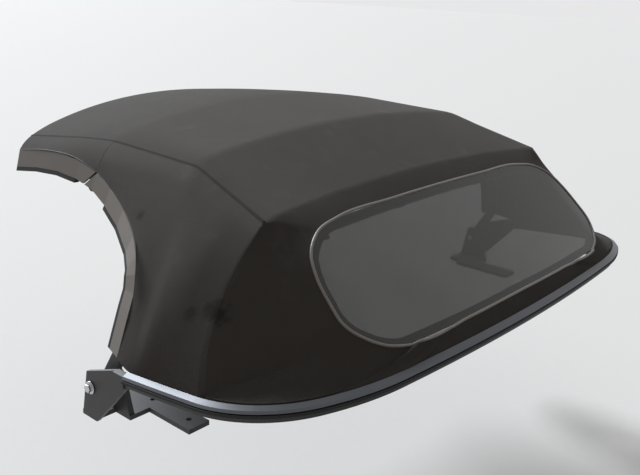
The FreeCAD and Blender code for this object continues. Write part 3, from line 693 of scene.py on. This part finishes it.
def meeting(grid, seam):
    """The grid with its first column moved on to the seam, fading out down the side."""
    fade = np.clip(1.0 - SIDE_SHARES / SEAM_PULL, 0.0, 1.0) ** 2
    return grid + fade[None, :, None] * (seam - grid[:, 0])[:, None, :]


def front_side_grid(roof):
    """The side in front of the joint, a smooth sheet through the first four bends."""
    grid = smooth_between(FRONT_COLUMNS, KNOTS[: MAIN + 1], ALONG[: JOINT + 1])
    return meeting(grid, roof[: JOINT + 1, -1])


def rear_side_grid(roof):
    """The side behind the joint: a strip along the trim, the middle crease, and the quarter."""
    t = ALONG[JOINT:]
    share = (t[t <= MIDDLE] - MAIN)[:, None, None]
    crease = QUARTER[0]
    ahead = crease - STRIP_START
    length = np.linalg.norm(ahead, axis=1, keepdims=True)
    out = unit_rows(np.cross(ahead, np.gradient(crease, axis=0)))
    out *= np.sign(out[:, :1])
    strip = STRIP_START + ahead * share + 4.0 * share * (1.0 - share) * STRIP_BOW * length * out
    quarter = smooth_between(QUARTER, QUARTER_KNOTS, t[t > MIDDLE])
    grid = np.concatenate([strip, quarter])
    before = unit_rows(strip[-1] - strip[-2])
    after = unit_rows(quarter[1] - quarter[0])
    soft = np.minimum(CREASE_SOFT + CREASE_FADE * SIDE_SHARES[:, None] ** 2, CREASE_SHARE * length)
    for k, value in enumerate(t):
        way = after if value > MIDDLE else before
        away = ((grid[k] - crease) * way).sum(1, keepdims=True)
        if value < CREASE_STOP:
            grid[k] = rounded(grid[k], crease, before, after, away / soft, soft)
    return meeting(grid, roof[JOINT:, -1])


def unit_rows(v):
    """Each direction at length one."""
    return v / (np.linalg.norm(v, axis=-1, keepdims=True) + 1e-12)


def grid_normals(grid):
    """The direction square to a grid's surface at each of its points."""
    return unit_rows(np.cross(np.gradient(grid, axis=0), np.gradient(grid, axis=1)))


def towards(normals, goal, weight):
    """The normals turned part of the way to a goal."""
    return unit_rows(normals * (1 - weight) + goal * weight)


def pointing(normals, away):
    """The normals, all turned round if they point against away."""
    return normals if (normals.mean((0, 1)) @ np.array(away)) > 0 else -normals


HALF_ROOF = roof_grid()
FRONT_SIDE = front_side_grid(HALF_ROOF)
REAR_SIDE = rear_side_grid(HALF_ROOF)
MIRROR = np.array([-1.0, 1.0, 1.0])
ROOF = np.concatenate([HALF_ROOF[:, :0:-1] * MIRROR, HALF_ROOF], 1)
ROOF_NORMALS = pointing(grid_normals(ROOF), (0, 0, 1))
FRONT_NORMALS = pointing(grid_normals(FRONT_SIDE), (1, 0, 1))
REAR_NORMALS = pointing(grid_normals(REAR_SIDE), (1, 0, 1))
SEAM = HALF_ROOF[:, -1]
SEAM_NORMALS = np.concatenate([FRONT_NORMALS[:, 0], REAR_NORMALS[1:, 0]])
SEAM_NORMALS = unit_rows(ROOF_NORMALS[:, -1] + SEAM_NORMALS)


def soften_seam():
    """Turns the normals beside the roof seam towards it, so that the light runs across it."""
    for column, weight in ROOF_BLEND:
        ROOF_NORMALS[:, -column] = towards(ROOF_NORMALS[:, -column], SEAM_NORMALS, weight)
        ROOF_NORMALS[:, column - 1] = ROOF_NORMALS[:, -column] * MIRROR
    for column, weight in SIDE_BLEND:
        for normals, rows in ((FRONT_NORMALS, slice(0, JOINT + 1)), (REAR_NORMALS, slice(JOINT, None))):
            normals[:, column] = towards(normals[:, column], SEAM_NORMALS[rows], weight)


soften_seam()


# Cloth pieces


def lengths_along(grid):
    """The mean distance from a grid's first row to each of its rows."""
    steps = np.linalg.norm(np.diff(grid, axis=0), axis=2).mean(1)
    return np.concatenate([[0.0], np.cumsum(steps)])


def grid_uv(grid):
    """A map in metres: across from the grid's middle row, along from the first row."""
    across, along = run_along(grid[len(grid) // 2]), lengths_along(grid)
    return np.stack(np.broadcast_arrays(across[None, :], along[:, None]), 2)


def sheet_faces(rows, cols, wrap):
    """The corner numbers of a grid's faces, and of the edges round its rim."""
    last = cols if wrap else cols - 1
    faces, edges = [], []
    for r in range(rows - 1):
        for c in range(last):
            d = (c + 1) % cols
            faces.append([r * cols + c, (r + 1) * cols + c, (r + 1) * cols + d, r * cols + d])
    for c in range(last):
        d = (c + 1) % cols
        edges += [(c, d), ((rows - 1) * cols + d, (rows - 1) * cols + c)]
    if not wrap:
        for r in range(rows - 1):
            edges += [((r + 1) * cols, r * cols), (r * cols + cols - 1, (r + 1) * cols + cols - 1)]
    return faces, edges


def thin_sheet(grid, normals, gauge, wrap):
    """The points of a closed sheet, and its faces as (corners, their normals).

    The points are the grid's own and then those of its underside, in the same order.
    """
    rows, cols = grid.shape[:2]
    below = rows * cols
    outer, flat_normals = grid.reshape(-1, 3), normals.reshape(-1, 3)
    points = np.concatenate([outer, (grid - normals * gauge).reshape(-1, 3)])
    probe = np.cross(grid[1, 0] - grid[0, 0], grid[0, 1] - grid[0, 0]) @ normals[0, 0]
    turn = 1 if probe >= 0 else -1
    quads, edges = sheet_faces(rows, cols, wrap)
    faces = []
    for quad in quads:
        quad = quad[::turn]
        faces.append((quad, flat_normals[quad]))
        faces.append(([q + below for q in quad[::-1]], -flat_normals[quad[::-1]]))
    for a, b in edges:
        quad = [a, b, b + below, a + below][::turn]
        p = points[quad]
        faces.append((quad, np.tile(unit_rows(np.cross(p[2] - p[0], p[3] - p[1])), (4, 1))))
    return points, faces


def cloth_mesh(name, layers, gauge=CLOTH, wrap=False):
    """A thin closed sheet for each (grid, normals, material index) layer, with its normals and map."""
    points, faces, loop_normals, loop_uv, picks = [], [], [], [], []
    for grid, normals, pick in layers:
        start = len(points)
        uv = grid_uv(grid).reshape(-1, 2)
        layer_points, layer_faces = thin_sheet(grid, normals, gauge, wrap)
        points += list(layer_points)
        for corners, given in layer_faces:
            faces.append([start + c for c in corners])
            loop_normals += list(given)
            loop_uv += [uv[c % len(uv)] for c in corners]
            picks.append(pick)
    mesh = bpy.data.meshes.new(name)
    mesh.from_pydata([tuple(p) for p in points], [], faces)
    mesh.shade_smooth()
    uv_layer = mesh.uv_layers.new(name="UVMap")
    uv_layer.data.foreach_set("uv", np.array(loop_uv, np.float32).ravel())
    mesh.polygons.foreach_set("material_index", picks)
    mesh.normals_split_custom_set([tuple(n) for n in loop_normals])
    mesh.materials.append(FINISHES["canvas"])
    mesh.materials.append(FINISHES["canvas_seam"])
    piece = bpy.data.objects.new(name, mesh)
    bpy.context.scene.collection.objects.link(piece)
    return piece


def grid_area(grid):
    """The area of a grid's surface."""
    down, across = grid[1:, :-1] - grid[:-1, :-1], grid[:-1, 1:] - grid[:-1, :-1]
    return float(np.linalg.norm(np.cross(down, across), axis=2).sum())


def declare(grid):
    """Works out the area of a grid's surface, and keeps nothing of it."""
    area = grid_area(grid)


def rows_between(low, high):
    """The numbers of the master surface's rows from one place along it to another."""
    return np.where((ALONG > low - 1e-6) & (ALONG < high + 1e-6))[0]


def seam_strip(rows):
    """The folded and stitched seam, a low band over the line where the roof meets the side."""
    centre, normals = SEAM[rows], SEAM_NORMALS[rows]
    ahead = unit_rows(np.gradient(centre, axis=0))
    across = unit_rows(np.cross(ahead, normals))
    across *= np.sign(across[:, :1] + 1e-9)
    grid = np.stack([centre + across * o + normals * h for o, h in SEAM_PROFILE], 1)
    return grid, np.repeat(normals[:, None], len(SEAM_PROFILE), 1)


def flipped(grid):
    """The right side's grid or normals from the left side's."""
    return grid[:, ::-1] * MIRROR


def rows_and_seams(low, high):
    """The rows of a cover that spans the roof, and the layers of its two seams."""
    rows = rows_between(low, high)
    strip, strip_normals = seam_strip(rows)
    return rows, [(strip, strip_normals, 1), (flipped(strip), flipped(strip_normals), 1)]


def cover_front():
    """The roof and its sides in front of the joint, in one piece."""
    rows, strips = rows_and_seams(HEADER, MAIN)
    left, normals = FRONT_SIDE[rows], FRONT_NORMALS[rows]
    grid = np.concatenate([flipped(left)[:, :-1], ROOF[rows], left[:, 1:]], 1)
    normals = np.concatenate([flipped(normals)[:, :-1], ROOF_NORMALS[rows], normals[:, 1:]], 1)
    piece = cloth_mesh("cover_front", [(grid, normals, 0)] + strips)
    declare(grid)
    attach(piece, "front_panel")
    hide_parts("front_cover")


def cover_roof():
    """The roof from the joint to the middle bow."""
    rows, strips = rows_and_seams(MAIN, MIDDLE)
    piece = cloth_mesh("cover_roof", [(ROOF[rows], ROOF_NORMALS[rows], 0)] + strips)
    declare(ROOF[rows])
    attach(piece, "front_panel")
    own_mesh(piece)
    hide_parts("roof_cover")


def cover_roof_rear():
    """The roof from the middle bow to the corner bow."""
    rows, strips = rows_and_seams(MIDDLE, CORNER)
    piece = cloth_mesh("cover_roof_rear", [(ROOF[rows], ROOF_NORMALS[rows], 0)] + strips)
    declare(ROOF[rows])
    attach(piece, "rear_window")
    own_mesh(piece)
    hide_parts("rear_roof_cover")


def cover_sides():
    """The strip beside each trim with the middle crease, and the quarter behind it."""
    for side, turn in (("left", np.array), ("right", flipped)):
        rows = rows_between(MAIN, SPLIT) - JOINT
        grid, normals = REAR_SIDE[rows], REAR_NORMALS[rows]
        piece = cloth_mesh("cover_side_" + side, [(turn(grid), turn(normals), 0)])
        declare(grid)
        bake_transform(piece)
        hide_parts("side_cover_" + side)
        rows = rows_between(SPLIT, CORNER) - JOINT
        grid, normals = REAR_SIDE[rows], REAR_NORMALS[rows]
        piece = cloth_mesh("cover_quarter_" + side, [(turn(grid), turn(normals), 0)])
        declare(grid)
        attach(piece, "main_arms")
        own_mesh(piece)
        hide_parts("quarter_cover_" + side)


# Rear cover round the glass


def outline_places():
    """The glass outline's left half in its flat plane, finely divided."""
    points = np.array(GLASS_OUTLINE)
    flip = np.array([-1.0, 1.0])
    points = np.concatenate([points[1:2] * flip, points, points[-2:-1] * flip])[:, None]
    arcs = len(GLASS_OUTLINE) - 1
    samples = 1.0 + np.arange(arcs * OUTLINE_STEPS + 1) / OUTLINE_STEPS
    return smooth_between(points, np.arange(arcs + 3.0), samples)[:, 0]


def glass_tree():
    """The glass node's surface, for finding places on it."""
    mesh = nodes["rear_glass"].data
    return BVHTree.FromPolygons([v.co for v in mesh.vertices], [p.vertices for p in mesh.polygons])


GLASS_TREE = glass_tree()


def flat_way(across, down):
    """A move in the flat plane of the glass outline."""
    return Vector((across, 0, 0)) + GLASS_DOWN * down


def on_glass(place):
    """A place of the flat outline dropped on the curved glass.

    The glass is probed a little inside its edge, and the place found is carried on out.
    """
    inward = GLASS_CENTRE - place * GLASS_DRAW
    spot = place + inward / np.linalg.norm(inward) * GLASS_INSET
    start = GLASS_TOP + flat_way(*spot) + GLASS_OUT * GLASS_PROBE
    hit, normal = GLASS_TREE.ray_cast(start, -GLASS_OUT)[:2]
    if hit is None:
        hit, normal = start - GLASS_OUT * GLASS_PROBE, GLASS_OUT
    move = flat_way(*(place - spot))
    rise = move.dot(normal) / max(GLASS_STEEPEST, GLASS_OUT.dot(normal))
    return np.array(hit + move - GLASS_OUT * rise)


def rear_ring():
    """The rear cover's left half from the glass edge out to the corner bend and the base edge.

    Returns its grid, the normals along its outer edge down to the base, and the glass edge.
    """
    middle = ROOF.shape[1] // 2
    roof_row, roof_normals = ROOF[-1, middle:], ROOF_NORMALS[-1, middle:]
    column, column_normals = REAR_SIDE[-1], REAR_NORMALS[-1]
    base = BASE_FOOT[len(BASE_FOOT) - 1 - 2 * BASE_STEPS :: -1]
    outer = np.concatenate([roof_row, column[1:], base[1:]])
    guide = np.concatenate([roof_normals, column_normals[1:]])
    places = outline_places()
    edge = np.array([on_glass(p) for p in places])
    run, outer_run = run_along(places), run_along(outer)
    seam_at = len(roof_row) - 1
    low_at = seam_at + int(RING_LOW * (len(column) - 1))
    corner_at = seam_at + len(column) - 1 + 2 * BASE_STEPS
    outer_marks = outer_run[[0, seam_at, low_at, corner_at, -1]]
    # Every third point of the glass outline meets one of the marks
    inner_marks = run[:: 3 * OUTLINE_STEPS]
    at = np.interp(outer_run, outer_marks, inner_marks)
    inner = places_at(at, run, edge)
    tangent = np.gradient(places_at(at, run, places), axis=0)
    out = unit_rows(np.stack([tangent[:, 1], -tangent[:, 0]], 1))
    away = out[:, :1] * np.array([1.0, 0, 0]) + out[:, 1:] * np.array(GLASS_DOWN)
    gap = np.linalg.norm(outer - inner, axis=1, keepdims=True)
    direction = unit_rows(outer - inner)
    blend_way = unit_rows(0.5 * unit_rows(away) + direction)
    control = inner + blend_way * gap * 0.5
    control = 0.5 * control + 0.5 * (inner + outer) / 2.0
    share = np.linspace(0.0, 1.0, RING_ROWS)[:, None, None]
    grid = (1 - share) ** 2 * inner + 2 * share * (1 - share) * control + share**2 * outer
    return grid, guide, inner


RING, RING_GUIDE, GLASS_EDGE = rear_ring()


def cover_rear():
    """The ring of cloth round the glass, whose outer normals follow the covers it meets."""
    ring = np.concatenate([RING[:, ::-1], (RING * MIRROR)[:, 1:-1]], 1)
    wrapped = np.concatenate([ring[:, -1:], ring, ring[:, :1]], 1)
    normals = pointing(grid_normals(wrapped)[:, 1:-1], (0, 1, 1))
    guide = np.concatenate([RING_GUIDE[::-1], (RING_GUIDE * MIRROR)[1:]])
    first = RING.shape[1] - len(RING_GUIDE)
    span = slice(first, first + len(guide))
    for back, weight in REAR_BLEND:
        normals[-back, span] = towards(normals[-back, span], guide, weight)
    piece = cloth_mesh("cover_rear", [(ring, normals, 0)], wrap=True)
    declare(ring)
    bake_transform(piece)
    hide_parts("rear_cover", "rear_corner_left", "rear_corner_right")


def cover_hem():
    """The edge of the cloth that stays clamped in the base moulding."""
    rows = [base_edge(HEM_INSET, lift, HEM_STEPS) for lift in HEM_LIFTS]
    grid = np.array([np.concatenate([row[:0:-1] * MIRROR, row]) for row in rows])
    normals = pointing(grid_normals(grid), (0, 1, 0))
    normals *= np.sign((normals * (grid - np.array([0, 0, 0.15]))).sum(2, keepdims=True) + 1e-9)
    piece = cloth_mesh("cover_hem_strip", [(grid, normals, 0)], gauge=HEM_GAUGE)
    declare(grid)
    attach(piece, "base")
    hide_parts("cover_hem")


# Beads and edge cords


def bead(name, points, radius, finish, body, closed=False):
    """A round bead along a line of points."""
    curve = bpy.data.curves.new(name, "CURVE")
    curve.dimensions = "3D"
    curve.bevel_depth = radius
    curve.bevel_resolution = 3
    curve.use_fill_caps = not closed
    line = curve.splines.new("POLY")
    line.points.add(len(points) - 1)
    for spot, place in zip(line.points, points):
        spot.co = (*place, 1.0)
    line.use_cyclic_u = closed
    piece = bpy.data.objects.new(name, curve)
    bpy.context.scene.collection.objects.link(piece)
    bpy.ops.object.select_all(action="DESELECT")
    piece.select_set(True)
    bpy.context.view_layer.objects.active = piece
    bpy.ops.object.convert(target="MESH")
    piece.data.shade_smooth()
    piece.data.materials.clear()
    piece.data.materials.append(FINISHES[finish])
    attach(piece, body)


def edge_details():
    """The bead round the glass, and the cord between the cloth and each trim."""
    ring = np.concatenate([GLASS_EDGE[::-1], (GLASS_EDGE * MIRROR)[1:-1]])
    bead("glass_bead", ring, BEAD_RADIUS, "glass_edge", "rear_window", True)
    for side, turn in (("left", np.ones(3)), ("right", MIRROR)):
        front, rear = (FRONT_SIDE[:, -1] + CORD_SINK) * turn, (TRIM_EDGE[2:] + CORD_SINK) * turn
        bead("front_edge_cord_" + side, front, CORD_RADIUS, "seal_rubber", "front_panel")
        bead("rear_edge_cord_" + side, rear, CORD_RADIUS, "seal_rubber", "main_arms")


# Nuts on the pivot pins


def cap_nut(name, place, side, radius, body):
    """A hexagonal nut on a washer, on a pin's end that points out along X."""
    bpy.ops.object.select_all(action="DESELECT")
    bpy.ops.mesh.primitive_cylinder_add(
        vertices=6, radius=radius, depth=NUT_DEPTH, rotation=(0, QUARTER_TURN, 0)
    )
    piece = bpy.context.object
    piece.name = name
    bpy.ops.object.transform_apply(location=False, rotation=True, scale=False)
    bpy.ops.object.mode_set(mode="EDIT")
    bpy.ops.mesh.select_all(action="SELECT")
    bpy.ops.mesh.bevel(offset=NUT_EDGE, segments=2, affect="EDGES")
    bpy.ops.object.mode_set(mode="OBJECT")
    flat = max(piece.data.polygons, key=lambda face: face.center.x * side + face.area)
    for face in piece.data.polygons:
        face.select = face.index == flat.index
    bpy.ops.object.mode_set(mode="EDIT")
    bpy.ops.mesh.select_mode(type="FACE")
    bpy.ops.mesh.inset(thickness=radius * NUT_FACE)
    bpy.ops.mesh.extrude_region_move(TRANSFORM_OT_translate={"value": (NUT_BOSS * side, 0, 0)})
    bpy.ops.mesh.inset(thickness=radius * NUT_TOP)
    bpy.ops.mesh.select_all(action="DESELECT")
    bpy.ops.mesh.primitive_cylinder_add(
        vertices=40,
        radius=radius * WASHER_WIDTH,
        depth=WASHER_DEPTH,
        location=(-WASHER_BACK * side, 0, 0),
        rotation=(0, QUARTER_TURN, 0),
    )
    bpy.ops.mesh.select_more()
    bpy.ops.mesh.select_linked()
    bpy.ops.mesh.bevel(offset=WASHER_EDGE, segments=2, affect="EDGES")
    bpy.ops.mesh.select_all(action="SELECT")
    bpy.ops.transform.translate(value=place)
    bpy.ops.object.mode_set(mode="OBJECT")
    bpy.ops.object.shade_smooth_by_angle(angle=math.radians(30))
    piece.data.materials.clear()
    piece.data.materials.append(FINISHES["pin_steel"])
    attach(piece, body)


def pivot_nuts():
    """A nut on both ends of each pivot pin."""
    for node, joint, body, radius in NUTS:
        low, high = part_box(node)
        y, z = next(j["pos_m"] for j in frame["joints"] if j["name"] == joint)[1:]
        for side, x, out in (("left", high[0], 1.0), ("right", low[0], -1.0)):
            cap_nut(node + "_nut_" + side, (x - NUT_BITE * out, y, z), out, radius, body)


pivot_nuts()
cover_front()
cover_roof()
cover_roof_rear()
cover_sides()
cover_rear()
cover_hem()
edge_details()


# Finishes of the frame's own pieces

SUBPARTS = {part["node"]: part["material_slot"] for part in frame["record"]["subparts"]}
for name, node in nodes.items():
    node.data.materials.clear()
    node.data.materials.append(FINISHES[SUBPARTS[name]])


# Camera, light and floor


def camera():
    """The photograph's camera."""
    data = bpy.data.cameras.new("camera")
    data.sensor_width = CAMERA_SENSOR
    data.lens = CAMERA_LENS
    right = CAMERA_FORWARD.cross(Vector((0, 0, 1))).normalized()
    up = right.cross(CAMERA_FORWARD)
    cos, sin = math.cos(CAMERA_ROLL), math.sin(CAMERA_ROLL)
    x_axis = right * cos + up * sin
    y_axis = up * cos - right * sin
    turn = Matrix((x_axis, y_axis, -CAMERA_FORWARD)).transposed()
    item = bpy.data.objects.new("camera", data)
    item.matrix_world = Matrix.Translation(CAMERA_PLACE) @ turn.to_4x4()
    bpy.context.scene.collection.objects.link(item)
    bpy.context.scene.camera = item


def light(name, kind, power, colour, place, way):
    """A light of a kind at a place, shining along a way. Returns its settings."""
    data = bpy.data.lights.new(name, kind)
    data.energy = power
    data.color = colour
    item = bpy.data.objects.new(name, data)
    item.location = place
    item.rotation_euler = way.to_track_quat("-Z", "Y").to_euler()
    bpy.context.scene.collection.objects.link(item)
    return data


def sky():
    """A pale backdrop for the camera, and a dimmer even light for the scene."""
    world = bpy.data.worlds.new("studio")
    g = Graph(world, "Background", color=SKY_COLOUR, strength=AMBIENT)
    even = Socket(g, g.shader.outputs[0])
    backdrop = g.add("Background", {}, {"Color": BACKDROP_COLOUR})
    seen = g.add("MixShader", {}, {0: g.pale_rays(), 1: even, 2: backdrop})
    g.feed(g.tree.nodes["World Output"].inputs["Surface"], seen)
    bpy.context.scene.world = world


def floor():
    """A pale paper floor that takes the shadow, and gives little light back to the piece."""
    bpy.ops.object.select_all(action="DESELECT")
    bpy.ops.mesh.primitive_plane_add(size=FLOOR_SIZE, location=(0, 0, FLOOR_Z))
    piece = bpy.context.object
    piece.name = "floor"
    g = material("floor_paper", roughness=0.9)
    paper = g.mix(g.noise(g.object_place(), 40.0, 2.0), *PAPER_TONES)
    piece.data.materials.append(g.finish(g.mix(g.pale_rays(), PAPER_GLOW, paper)))


def studio():
    """The sky, the sun, the window and the floor."""
    bpy.context.scene.view_settings.view_transform = "Standard"
    sky()
    sun = light("sun", "SUN", SUN_POWER, SUN_COLOUR, (0, 0, 0), SUN_WAY)
    sun.angle = math.radians(SUN_WIDTH)
    way = WINDOW_TARGET - WINDOW_PLACE
    window = light("front window", "AREA", WINDOW_POWER, WINDOW_COLOUR, WINDOW_PLACE, way)
    window.shape = "RECTANGLE"
    window.size, window.size_y = WINDOW_SIZE
    floor()


camera()
studio()
